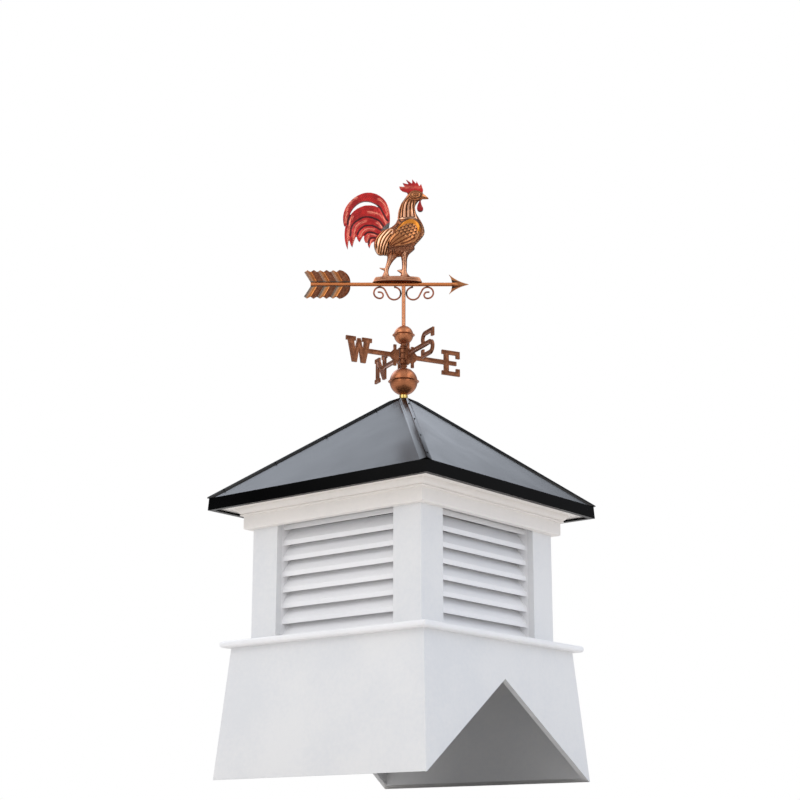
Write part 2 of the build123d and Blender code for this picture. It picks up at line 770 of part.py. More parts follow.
with BuildPart() as wing:
    add(limb(trunk, wing_lift * rooster_scale))
    with BuildSketch(rooster_plane):
        with BuildLine():
            Spline(*bird(*wing_outline), periodic=True)
        make_face()
    extrude(amount=mound_width * rooster_scale, both=True, mode=Mode.INTERSECT)

with BuildPart() as rooster_body:
    for ribs in (trunk, beak, rear_leg, front_leg, rear_spur, front_spur):
        add(limb(ribs))
    add(wing.part)
rooster_body.part.label = "rooster_body"
export_step(rooster_body.part, "parts/rooster_body.step")

with BuildPart() as rooster_mound:
    with BuildSketch(Plane(origin=rooster_plane.origin, x_dir=rooster_plane.x_dir, z_dir=(0, 0, 1))):
        with Locations((mound_offset * rooster_scale, 0)):
            Ellipse(mound_length * rooster_scale / 2, mound_width * rooster_scale / 2)
    extrude(amount=mound_height * rooster_scale, taper=25)
    add(rooster_body.part, mode=Mode.SUBTRACT)
rooster_mound.part.label = "rooster_mound"
export_step(rooster_mound.part, "parts/rooster_mound.step")

# The sickle and five shorter feathers: the outer edge from root to tip, then the inner edge back to the root
tail_feathers = (
    (((-43, 168), (-42, 221), (-59, 257), (-103, 276), (-148, 256), (-169, 228), (-176, 197), (-172, 172)),
     ((-164, 187), (-152, 219), (-116, 249), (-75, 235), (-58, 202), (-50, 166))),
    (((-50, 165), (-75, 231), (-109, 236), (-147, 216), (-170, 165), (-161, 100)),
     ((-156, 142), (-120, 205), (-55, 155))),
    (((-55, 160), (-112, 212), (-156, 150), (-148, 107)), ((-136, 146), (-105, 185), (-60, 150))),
    (((-60, 155), (-108, 186), (-136, 150), (-127, 123)), ((-114, 147), (-92, 165), (-64, 144))),
    (((-63, 148), (-96, 164), (-113, 146), (-109, 121)), ((-103, 124), (-96, 142), (-70, 134))),
    (((-66, 140), (-90, 146), (-103, 128), (-98, 104)), ((-87, 124), (-70, 118))),
)
with BuildPart() as rooster_tail:
    for row, (outer, inner) in enumerate(tail_feathers):
        with BuildSketch(rooster_plane):
            with BuildLine():
                crown = Spline(*bird(*outer))
                hollow = Spline(crown @ 1, *bird(*inner))
                Line(hollow @ 1, crown @ 0)
            make_face()
        extrude(amount=(tail_thickness - row * tail_step) * rooster_scale / 2, both=True)
    add(rooster_body.part, mode=Mode.SUBTRACT)
rooster_tail.part.label = "rooster_tail"
export_step(rooster_tail.part, "parts/rooster_tail.step")

comb_edge = (
    (16, 262), (10, 277), (-3, 281), (-10, 287), (-13, 296), (4, 295), (-3, 307), (15, 303), (7, 318),
    (25, 305), (25, 319), (36, 305), (38, 313), (46, 297), (51, 304), (57, 286), (55, 272),
)
with BuildPart() as rooster_comb:
    with BuildSketch(rooster_plane):
        with BuildLine():
            Polyline(*bird(*comb_edge), close=True)
        make_face()
    extrude(amount=comb_thickness * rooster_scale / 2, both=True)
    add(rooster_body.part, mode=Mode.SUBTRACT)
rooster_comb.part.label = "rooster_comb"
export_step(rooster_comb.part, "parts/rooster_comb.step")

wattle_edge = ((49, 262), (42, 242), (39, 228), (41, 221), (47, 217), (55, 220), (57, 228), (52, 240))
with BuildPart() as rooster_wattle:
    with BuildSketch(rooster_plane):
        with BuildLine():
            Spline(*bird(*wattle_edge), periodic=True)
        make_face()
    extrude(amount=comb_thickness * rooster_scale / 2, both=True)
    add(rooster_body.part, mode=Mode.SUBTRACT)
rooster_wattle.part.label = "rooster_wattle"
export_step(rooster_wattle.part, "parts/rooster_wattle.step")
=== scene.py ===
import json
import math

import bpy
import numpy as np
from mathutils import Matrix, Vector, kdtree


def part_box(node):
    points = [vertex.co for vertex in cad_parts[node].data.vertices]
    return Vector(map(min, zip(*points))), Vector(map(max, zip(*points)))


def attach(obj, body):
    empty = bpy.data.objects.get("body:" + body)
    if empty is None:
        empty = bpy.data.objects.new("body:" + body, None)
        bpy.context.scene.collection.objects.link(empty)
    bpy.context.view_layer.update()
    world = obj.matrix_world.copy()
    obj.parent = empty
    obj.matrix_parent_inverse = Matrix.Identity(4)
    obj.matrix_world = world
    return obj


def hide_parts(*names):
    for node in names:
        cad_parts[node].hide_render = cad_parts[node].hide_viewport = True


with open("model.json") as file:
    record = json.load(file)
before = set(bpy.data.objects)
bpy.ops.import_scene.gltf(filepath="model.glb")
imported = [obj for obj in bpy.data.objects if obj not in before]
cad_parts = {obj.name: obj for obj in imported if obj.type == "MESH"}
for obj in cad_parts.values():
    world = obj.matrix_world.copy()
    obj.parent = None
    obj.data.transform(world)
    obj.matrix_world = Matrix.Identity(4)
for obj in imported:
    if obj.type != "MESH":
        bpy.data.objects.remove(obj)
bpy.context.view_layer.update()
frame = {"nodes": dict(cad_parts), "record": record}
print("frame loaded:", len(frame["nodes"]), "nodes")


class Wire:  # one output socket of a shader node, with arithmetic
    def __init__(self, socket):
        self.socket = socket

    def make(self, kind, settings, values, output=0):
        tree = self.socket.id_data
        node = tree.nodes.new(kind)
        for name, value in settings.items():
            setattr(node, name, value)
        for name, value in values.items():
            if isinstance(value, Wire):
                tree.links.new(value.socket, node.inputs[name])
            else:
                node.inputs[name].default_value = value
        return Wire(node.outputs[output])

    def calc(self, operation, first, second):
        return self.make("ShaderNodeMath", {"operation": operation}, {0: first, 1: second})

    def __add__(self, other):
        return self.calc("ADD", self, other)

    __radd__ = __add__

    def __mul__(self, other):
        return self.calc("MULTIPLY", self, other)

    __rmul__ = __mul__

    def __sub__(self, other):
        return self.calc("SUBTRACT", self, other)

    def __rsub__(self, other):
        return self.calc("SUBTRACT", other, self)

    def band(self, low, high):  # 0 below low, 1 above high, smooth between
        return self.make("ShaderNodeMapRange", {"interpolation_type": "SMOOTHSTEP"},
                         {"Value": self, "From Min": low, "From Max": high})

    def blend(self, first, second):  # colours first and second, by this value
        return self.make("ShaderNodeMix", {"data_type": "RGBA"}, {0: self, 6: first, 7: second}, 2)

    def vector(self, operation, values, output):
        return self.make("ShaderNodeVectorMath", {"operation": operation}, values, output)

    def towards(self, direction):  # how far this place lies in a direction
        return self.vector("DOT_PRODUCT", {0: self, 1: direction}, "Value")


def newMaterial(name):
    material = bpy.data.materials.new(name)
    material.use_nodes = True
    tree = material.node_tree
    shader = tree.nodes["Principled BSDF"]
    place = Wire(tree.nodes.new("ShaderNodeTexCoord").outputs["Object"])
    return material, shader, place


def feed(shader, name, value):
    if isinstance(value, Wire):
        shader.id_data.links.new(value.socket, shader.inputs[name])
    else:
        shader.inputs[name].default_value = value


def noise(place, scale, detail=3.0, roughness=0.5):
    values = {"Vector": place, "Scale": scale, "Detail": detail, "Roughness": roughness}
    return place.make("ShaderNodeTexNoise", {}, values)


def marked(place, name):  # a value that was stored on the points of the mesh
    return place.make("ShaderNodeAttribute", {"attribute_name": name}, {}, "Fac")


def bump(height, distance, strength):
    return height.make("ShaderNodeBump", {}, {"Height": height, "Distance": distance, "Strength": strength})


vinylLook = {
    "whiteVinyl": ((0.80, 0.80, 0.80, 1), (0.74, 0.75, 0.765, 1)),  # clean and dull
    # the crown boards' vinyl is the white vinyl made warmer and brighter: painted warm light from below
    "crownVinylPaintedWarmLight": ((0.89, 0.85, 0.81, 1), (0.84, 0.81, 0.775, 1)),
    # the slats' vinyl is the white vinyl made brighter: painted light
    "slatVinylPaintedLight": ((0.90, 0.895, 0.90, 1), (0.86, 0.86, 0.87, 1)),
    "cloudScale": 5, "speckScale": 90, "speckShare": 0.3, "roughness": 0.42,
    "grainScale": 260, "grainDepth": 0.0002, "grainStrength": 0.4,
}


def vinylMaterial(name):
    material, shader, place = newMaterial(name)
    clean, dull = vinylLook[name]
    share = vinylLook["speckShare"]
    cloud = noise(place, vinylLook["cloudScale"], 4)
    speck = noise(place, vinylLook["speckScale"])
    grain = noise(place, vinylLook["grainScale"], 2)
    feed(shader, "Base Color", (cloud * (1 - share) + speck * share).band(0.35, 0.7).blend(clean, dull))
    feed(shader, "Roughness", vinylLook["roughness"] + 0.1 * cloud)
    feed(shader, "Normal", bump(grain, vinylLook["grainDepth"], vinylLook["grainStrength"]))
    return material


roofLook = {
    "paint": (0.0008, 0.0008, 0.0009, 1), "dust": (0.0025, 0.0026, 0.003, 1), "dustScale": 4,
    "roughness": 0.2, "ior": 1.16, "capIor": 1.2,  # the caps shine a little more than the panels
    "waveScale": 9, "waveDepth": 0.0015, "waveStrength": 0.25,
}


def roofMaterial(name, ior):
    material, shader, place = newMaterial(name)
    cloud = noise(place, roofLook["dustScale"], 4)
    wave = noise(place, roofLook["waveScale"], 2)
    feed(shader, "Base Color", cloud.band(0.35, 0.75).blend(roofLook["paint"], roofLook["dust"]))
    feed(shader, "IOR", ior)
    feed(shader, "Roughness", roofLook["roughness"] + 0.08 * noise(place, roofLook["waveScale"]))
    feed(shader, "Normal", bump(wave, roofLook["waveDepth"], roofLook["waveStrength"]))
    return material


metalLook = {
    "framing": {"light": (0.6, 0.45, 0.3, 1), "dark": (0.5, 0.36, 0.22, 1), "roughness": 0.7},
    "steelRod": {"light": (0.5, 0.5, 0.52, 1), "dark": (0.4, 0.4, 0.42, 1), "roughness": 0.3},
    "brass": {"light": (0.8, 0.6, 0.2, 1), "dark": (0.7, 0.5, 0.15, 1), "roughness": 0.2},
    "globeCopper": {"light": (0.50, 0.19, 0.085, 1), "dark": (0.38, 0.13, 0.055, 1), "roughness": 0.26,
                    "scale": 14, "metallic": 0.75},
    "letterCopper": {"light": (0.28, 0.10, 0.04, 1), "dark": (0.17, 0.055, 0.02, 1), "roughness": 0.34,
                     "scale": 70, "metallic": 0.6},
    "vaneCopper": {"light": (0.72, 0.255, 0.085, 1), "dark": (0.60, 0.195, 0.06, 1), "roughness": 0.3,
                   "scale": 12, "metallic": 0.7, "grain": 0.0},
    "tubeCopper": {"light": (0.68, 0.29, 0.145, 1), "dark": (0.60, 0.235, 0.11, 1), "roughness": 0.28,
                   "scale": 12, "metallic": 0.7, "grain": 0.0},
}
metalGrain = {"scale": 300, "depth": 0.0003}


def metalMaterial(name, light, dark, roughness, scale=26, metallic=1.0, grain=0.3):
    material, shader, place = newMaterial(name)
    cloud = noise(place, scale, 5, 0.6)
    feed(shader, "Base Color", cloud.band(0.3, 0.7).blend(light, dark))
    feed(shader, "Metallic", metallic)
    feed(shader, "Roughness", roughness + 0.12 * cloud)
    feed(shader, "Normal", bump(noise(place, metalGrain["scale"]), metalGrain["depth"], grain))
    return material


scrollLook = {
    "light": (0.44, 0.15, 0.08, 1), "dark": (0.27, 0.08, 0.04, 1), "brazing": (0.03, 0.022, 0.02, 1),
    "underShaft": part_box("arrow_shaft")[0].z - 0.0035, "besideTube": 0.0105,  # where the brazing ends
    "shaftFade": 0.002, "tubeFade": 0.003, "scale": 40, "metallic": 0.8, "roughness": 0.3,
}


def scrollMaterial():  # dark brazed spots where the bar meets the shaft and the tube
    material, shader, place = newMaterial("scrollCopper")
    cloud = noise(place, scrollLook["scale"], 4)
    tubeEnd, shaftEnd = scrollLook["besideTube"], scrollLook["underShaft"]
    flat = place.vector("MULTIPLY", {0: place, 1: (1, 1, 0)}, 0)
    fromTube = place.vector("LENGTH", {0: flat}, "Value") + 0.002 * cloud
    clearOfTube = fromTube.band(tubeEnd, tubeEnd + scrollLook["tubeFade"])
    height = place.towards((0, 0, 1)) + 0.003 * cloud
    clearOfShaft = 1 - height.band(shaftEnd, shaftEnd + scrollLook["shaftFade"])
    bar = cloud.band(0.3, 0.7).blend(scrollLook["light"], scrollLook["dark"])
    feed(shader, "Base Color", (clearOfTube * clearOfShaft).blend(scrollLook["brazing"], bar))
    feed(shader, "Metallic", scrollLook["metallic"])
    feed(shader, "Roughness", scrollLook["roughness"] + 0.15 * cloud)
    feed(shader, "Normal", bump(cloud, 0.0003, 0.3))
    return material


featherLook = {
    # groove is the patina in the body's hollows, and also painted shade on turned edges
    "groove": (0.022, 0.016, 0.014, 1), "brown": (0.26, 0.074, 0.028, 1), "gold": (0.66, 0.235, 0.03, 1),
    # peach is the painted highlight colour on the crowns
    "peach": (0.86, 0.50, 0.33, 1), "patina": (0.12, 0.115, 0.10, 1), "roughness": 0.2,
    "mottleScale": 150, "mottleDepth": 0.0003,
}


def roosterMaterial():
    material, shader, place = newMaterial("roosterCopper")
    reliefAndShade, toneAndHighlight, gold, patina = (marked(place, name) for name in ("reliefAndShade", "toneAndHighlight", "gold", "patina"))
    mottle = noise(place, featherLook["mottleScale"], 4, 0.7)
    tone = (toneAndHighlight + (mottle - 0.5) * 0.6).band(0.0, 1.0)
    golden = tone.blend(featherLook["brown"], featherLook["gold"])
    # the tone mark lifts brown toward peach, or toward gold in golden parts; its rise on the crowns is painted
    # highlight
    metal = gold.blend(tone.blend(featherLook["brown"], featherLook["peach"]), golden)
    # the groove colour comes where the mark is low: patina in the body's grooves, painted shade on turned edges,
    # under the mound's rim and on the feathers' dark bands
    shade = (reliefAndShade + (mottle - 0.5) * 0.5).band(0.1, 0.78).blend(featherLook["groove"], metal)
    worn = (patina + (mottle - 0.5) * 0.7 * patina).band(0.15, 0.95)
    feed(shader, "Base Color", worn.blend(shade, featherLook["patina"]))
    feed(shader, "Metallic", 0.6 + 0.35 * reliefAndShade.band(0.1, 0.5))
    feed(shader, "Roughness", featherLook["roughness"] + 0.3 * (1 - reliefAndShade.band(0.1, 0.7)) + 0.1 * mottle)
    feed(shader, "Normal", bump(mottle, featherLook["mottleDepth"], 0.5))
    return material


enamelLook = {
    # groove is painted shade: between the tail feathers, on turned edges and at the foot of comb and wattle
    "groove": (0.045, 0.004, 0.006, 1), "deep": (0.36, 0.010, 0.011, 1), "red": (0.58, 0.018, 0.016, 1),
    # salmon is the painted highlight colour
    "salmon": (1.0, 0.30, 0.20, 1), "root": (0.13, 0.125, 0.12, 1), "roughness": 0.26, "coat": 0.12,
    "metallic": 0.5, "streakScale": 90, "cloudScale": 22, "streakDepth": 0.0003,
}


def enamelMaterial():
    material, shader, place = newMaterial("redEnamel")
    reliefAndShade, crown, root = (marked(place, name) for name in ("reliefAndShade", "toneAndHighlight", "patina"))
    streak = noise(place, enamelLook["streakScale"], 4, 0.6)
    cloud = noise(place, enamelLook["cloudScale"])
    red = (cloud + (streak - 0.5) * 0.6).band(0.3, 0.62).blend(enamelLook["deep"], enamelLook["red"])
    # toward salmon where the tone mark is high: painted highlight
    bright = (crown + (streak - 0.5) * 0.9).band(0.15, 1.15).blend(red, enamelLook["salmon"])
    shade = (reliefAndShade + (streak - 0.5) * 0.35).band(0.05, 0.75).blend(enamelLook["groove"], bright)
    bare = (root + (streak - 0.5) * 0.5 * root).band(0.2, 0.9)
    feed(shader, "Base Color", bare.blend(shade, enamelLook["root"]))
    feed(shader, "Metallic", enamelLook["metallic"])
    feed(shader, "Roughness", enamelLook["roughness"] + 0.15 * streak)
    feed(shader, "Coat Weight", enamelLook["coat"])
    feed(shader, "Normal", bump(streak, enamelLook["streakDepth"], 0.4))
    return material


metals = {name: metalMaterial(name, **look) for name, look in metalLook.items()}
finishes = {
    "white_vinyl": vinylMaterial("whiteVinyl"), "black_roof": roofMaterial("blackRoof", roofLook["ior"]),
    "framing": metals["framing"], "steel_rod": metals["steelRod"], "brass": metals["brass"],
    "globe_copper": metals["globeCopper"], "letter_copper": metals["letterCopper"],
    "vane_copper": metals["vaneCopper"], "rooster_copper": roosterMaterial(), "red_enamel": enamelMaterial(),
}
hipCorners = ("front_right", "back_right", "back_left", "front_left")
slatNodes = ("sill", "front_louvre", "right_louvre", "back_louvre", "left_louvre")
ownFinishes = {  # nodes that differ a little from their slot
    # frieze, bed moulding and soffit take the warmer, brighter copy of the white vinyl: painted light
    **dict.fromkeys(("frieze", "bed_moulding", "soffit"), vinylMaterial("crownVinylPaintedWarmLight")),
    # the louvres and the sill take the brighter copy of the white vinyl: painted light
    **dict.fromkeys(slatNodes, vinylMaterial("slatVinylPaintedLight")),
    **dict.fromkeys([f"{corner}_hip_cap" for corner in hipCorners], roofMaterial("blackCap", roofLook["capIor"])),
    **dict.fromkeys(("nose_scroll", "tail_scroll"), scrollMaterial()),
    "spindle_tube": metals["tubeCopper"],
}


def finishOf(node, slotName):
    return ownFinishes.get(node, finishes[slotName])


for entry in frame["record"]["subparts"]:
    node = frame["nodes"][entry["node"]]
    node.data.materials.clear()
    node.data.materials.append(finishOf(entry["node"], entry["material_slot"]))
print("finishes given to the frame")


def work(piece):  # this piece alone is selected and active
    bpy.ops.object.select_all(action="DESELECT")
    piece.select_set(True)
    bpy.context.view_layer.objects.active = piece


def edited(piece, *steps):  # runs operators on the whole piece in edit mode
    work(piece)
    bpy.ops.object.mode_set(mode="EDIT")
    for step, settings in steps:
        bpy.ops.mesh.select_all(action="SELECT")
        step(**settings)
    bpy.ops.object.mode_set(mode="OBJECT")


def applied(piece, kind, **settings):
    work(piece)
    modifier = piece.modifiers.new("step", kind)
    for name, value in settings.items():
        setattr(modifier, name, value)
    bpy.ops.object.modifier_apply(modifier="step")


def mergedCopy(node, name):
    piece = bpy.data.objects.new(name, frame["nodes"][node].data.copy())
    bpy.context.scene.collection.objects.link(piece)
    edited(piece, (bpy.ops.mesh.remove_doubles, {"threshold": 0.00001}))
    return piece


def remeshedCopy(node, name, look):  # a copy with an even skin, fine enough to take relief
    piece = mergedCopy(node, name)
    applied(piece, "REMESH", mode="VOXEL", voxel_size=look["voxel"])
    applied(piece, "SMOOTH", factor=0.5, iterations=look["smooth"])
    return piece


def spots(piece, what="co"):
    values = np.empty(len(piece.data.vertices) * 3)
    piece.data.vertices.foreach_get(what, values)
    return values.reshape(-1, 3)


def moveSpots(piece, places):
    piece.data.vertices.foreach_set("co", np.ascontiguousarray(places).ravel())
    piece.data.update()


def mark(piece, name, values):
    layer = piece.data.attributes.new(name, "FLOAT", "POINT")
    levels = np.broadcast_to(np.clip(values, 0, 1), len(piece.data.vertices))
    layer.data.foreach_set("value", levels.astype(np.float32))


def settle(piece, body, slotName, node):  # finish, body and the node that the piece stands for
    piece.data.materials.clear()
    piece.data.materials.append(finishOf(node, slotName))
    edited(piece)
    bpy.ops.object.shade_smooth_by_angle(angle=math.radians(32))
    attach(piece, body)
    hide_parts(node)


# The vane's own plane: u along the arrow, w up from the shaft's top, both in millimetres
vane = {"heading": math.radians(39.0), "foot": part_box("rooster_mound")[0].z, "shaftDrop": 5.6}
ahead = np.array((math.cos(vane["heading"]), math.sin(vane["heading"]), 0.0))
sideways = np.array((math.sin(vane["heading"]), -math.cos(vane["heading"]), 0.0))


def onVane(places):
    return places @ ahead * 1000, (places[:, 2] - vane["foot"]) * 1000


def ramp(value, low, high):  # 0 below low, 1 above high, smooth between
    part = np.clip((value - low) / (high - low), 0, 1)
    return part * part * (3 - 2 * part)


def atLeast(floor, part):  # part, squeezed into floor to 1
    return floor + (1 - floor) * part


def peak(value, middle, width):
    return np.exp(-((value - middle) / width) ** 2)


def hill(value, sharpness=2.4):  # rounded ridges with sharp valleys at the whole numbers
    return 1 - np.abs(2 * (value - np.floor(value)) - 1) ** sharpness


def scales(along, across):  # overlapping round feathers, 0 under a tip and 1 on it
    row = np.floor(along)
    offset = across + 0.5 * (row % 2)
    aside = 2 * (offset - np.floor(offset)) - 1
    reach = along - row
    own = reach <= np.sqrt(np.clip(1 - aside ** 2, 0, 1))
    return np.where(own, atLeast(0.4, reach), 0.32 * reach)


def curve(knots, count):  # smooth line through drawn points
    knots = np.array(knots, float)
    ends = np.vstack((2 * knots[0] - knots[1], knots, 2 * knots[-1] - knots[-2]))
    place = np.linspace(0, len(knots) - 1, count)
    first = np.minimum(place.astype(int), len(knots) - 2)
    t = (place - first)[:, None]
    a, b, c, d = (ends[first + k] for k in range(4))
    bends = (2 * a - 5 * b + 4 * c - d) * t ** 2 + (3 * b - a - 3 * c + d) * t ** 3
    return 0.5 * (2 * b + (c - a) * t + bends)


def lineDistance(lines, u, w):  # how far each point is from the nearest of the drawn lines
    drawn = np.vstack([curve(line, 90) for line in lines])
    tree = kdtree.KDTree(len(drawn))
    for number, (x, y) in enumerate(drawn):
        tree.insert((x, y, 0), number)
    tree.balance()
    return np.array([tree.find((x, y, 0))[2] for x, y in zip(u, w)])


def inside(outline, u, w):  # which points lie within a drawn outline
    loop = curve(list(outline) + [outline[0]], 120)
    within = np.zeros(len(u), bool)
    for (x0, y0), (x1, y1) in zip(loop[:-1], loop[1:]):
        if y0 != y1:
            within ^= ((w > y0) != (w > y1)) & (u < x0 + (w - y0) * (x1 - x0) / (y1 - y0))
    return within


def pushSides(piece, places, facing, ease, push):  # moves the two flat sides out, and not the edge between
    side = np.sign(facing) * ramp(np.abs(facing), *ease)
    moveSpots(piece, places + (side * push)[:, None] * sideways)


rooster = {
    "voxel": 0.0011, "smooth": 3, "depth": 0.0022, "midHeight": 0.8,
    "broadGroove": (0.2, 2.6), "fineGroove": (0.3, 1.7), "borderGroove": (0.4, 1.8),
    "eye": (35.6, 267.3), "eyeSize": (15.0, 10.0), "shoulder": (31, 176), "wingTip": (-46, 103),
    "scaleWidth": 9.5, "scaleLength": 10.5, "scaleBow": 0.004,
    "fan": (20, 150), "fanRadius": 40, "fanStep": (7.5, 6.5),  # middle and size of the small breast feathers
    "neckLevel": 190, "ringLevel": 236, "headLevel": 245, "beak": (55, 262), "downLevel": 60,
    "legLevel": 80, "thigh": (-8, 92), "belly": (72, 112), "crescentLevel": 150, "crescentReach": 13,
    "chin": (40, 237), "chinWidth": 0.62, "chinEdge": 36, "collar": (176, 196),
    "tone": {  # from brown to peach: in the hollows, and how much more on the crowns, that extra peach being painted highlight
        "plain": (0.2, 0), "neck": (0.3, 0.36), "rump": (0.35, 0.5), "wing": (0.22, 0), "scales": (0.02, 0.75),
        "crescent": (0.8, 0), "bars": (0.15, 0.45), "breast": (0.15, 0.7), "head": (0.3, 0.2), "legs": (0.18, 0.36)},
    "golden": {"plain": 0.45, "wing": 0.65, "crescent": 1.0, "head": 0.6, "legs": 0.15},
    "hackles": (
        ((7, 262), (-2, 248), (-7, 231), (-10, 214), (-12, 195)),
        ((15, 259), (6, 250), (0, 236), (-3, 217), (-4, 197)),
        ((17, 251), (12, 242), (9, 230), (8, 214), (8, 197)),
        ((23, 247), (20, 236), (19, 217), (19, 198)),
        ((30, 246), (28, 233), (29, 217), (31, 200)),
        ((36, 242), (35, 226), (37, 211), (41, 194), (47, 178), (51, 163))),
    "neckFoot": (
        ((-14, 190), (-11, 184), (-7, 180), (-1, 181), (4, 186), (10, 190), (17, 192), (24, 194), (33, 192),
         (41, 185)),
        ((-8, 195), (-5, 197), (2, 194), (8, 195), (13, 194), (20, 197), (26, 196), (32, 198))),
    "wing": ((-26, 144), (-19, 158), (-10, 170), (-2, 179), (8, 185), (19, 189), (30, 188), (41, 180), (48, 169),
             (50, 157), (48, 144), (42, 132), (34, 122), (24, 115), (10, 109), (-8, 105), (-25, 103), (-40, 104),
             (-43, 110), (-41, 121), (-35, 133)),
    "crescent": ((-6, 166), (1, 171), (10, 174), (19, 174), (27, 174), (35, 169), (41, 160), (42, 150)),
    "quills": (
        ((-15, 138), (-26, 128), (-35, 117), (-40, 108)), ((3, 136), (-15, 124), (-28, 114), (-36, 106)),
        ((19, 132), (-2, 120), (-18, 111), (-32, 104)), ((32, 130), (13, 117), (-8, 109))),
    "scaled": ((-18, 152), (-6, 163), (6, 171), (20, 173), (33, 169), (40, 156), (39, 142), (32, 132), (18, 130),
               (2, 134), (-12, 138), (-24, 142)),
    "rump": (
        ((-52, 160), (-65, 144), (-74, 132), (-78, 118), (-79, 103)),
        ((-42, 157), (-54, 143), (-63, 130), (-68, 115), (-71, 100), (-72, 89)),
        ((-34, 151), (-47, 136), (-54, 126), (-60, 112), (-64, 98), (-66, 86)),
        ((-36, 139), (-43, 128), (-49, 116), (-54, 104), (-57, 93), (-58, 84)),
        ((-43, 116), (-45, 106), (-49, 95), (-51, 84)),
        ((-35, 159), (-25, 162), (-15, 172)), ((-26, 156), (-16, 163))),
    "rumpSide": ((-86, 160), (-50, 166), (-36, 162), (-30, 148), (-38, 130), (-42, 112), (-46, 96), (-50, 76),
                 (-90, 76)),
    "thighs": (
        ((-43, 103), (-44, 93), (-46, 81)), ((-33, 95), (-32, 83), (-37, 63)), ((-27, 94), (-25, 84)),
        ((-6, 87), (0, 80), (3, 69), (4, 51)), ((6, 92), (9, 81), (9, 66)), ((17, 98), (14, 86))),
    "breast": ((41, 194), (51, 178), (57, 161), (56, 146), (49, 132)),
    "breastScales": ((51, 176), (64, 168), (64, 144), (52, 126), (40, 112), (33, 118), (46, 131), (52, 146),
                     (53, 160)),
    "face": (
        ((16, 254), (23, 249), (33, 248), (42, 251), (50, 256)),
        ((16, 263), (20, 258), (28, 254), (37, 254), (46, 258), (52, 263)),
        ((51, 261), (61, 260), (73, 259)), ((51, 278), (54, 271), (52, 265)),
        ((17, 275), (25, 280), (36, 282), (48, 279), (56, 273))),
}


def featherTone(part, crown=0.0):
    hollow, more = rooster["tone"][part]
    return hollow + more * crown


def wingFeathers(u, w):  # rows of round feathers from the shoulder to the wing's tip
    tip, shoulder = np.array(rooster["wingTip"]), np.array(rooster["shoulder"])
    axis = (tip - shoulder) / np.linalg.norm(tip - shoulder)
    run = (u - shoulder[0]) * axis[0] + (w - shoulder[1]) * axis[1]
    spread = (u - shoulder[0]) * axis[1] - (w - shoulder[1]) * axis[0]
    bowed = run + rooster["scaleBow"] * spread ** 2
    return scales(bowed / rooster["scaleLength"], spread / rooster["scaleWidth"])


def breastFeathers(u, w):  # small feathers in rings round the wing
    x, y = u - rooster["fan"][0], w - rooster["fan"][1]
    alongStep, acrossStep = rooster["fanStep"]
    return scales(np.arctan2(y, x) * rooster["fanRadius"] / alongStep, np.hypot(y, x) / acrossStep)


def darkPlaces(u, w, belly, wing, border):  # the belly, the throat and the foot of the neck
    chinU, chinW = rooster["chin"]
    fromChin = np.hypot((u - chinU) / rooster["chinWidth"], w - chinW)
    low, high = rooster["collar"]
    patina = 0.4 * ramp(w, 74, 96) * belly
    patina = np.maximum(patina, 0.9 * (1 - ramp(fromChin, 8, 15)) * (u > rooster["chinEdge"]))
    return np.maximum(patina, 0.45 * (w > low) * (w < high) * ~wing * (1 - ramp(border, 2.0, 5.0)))


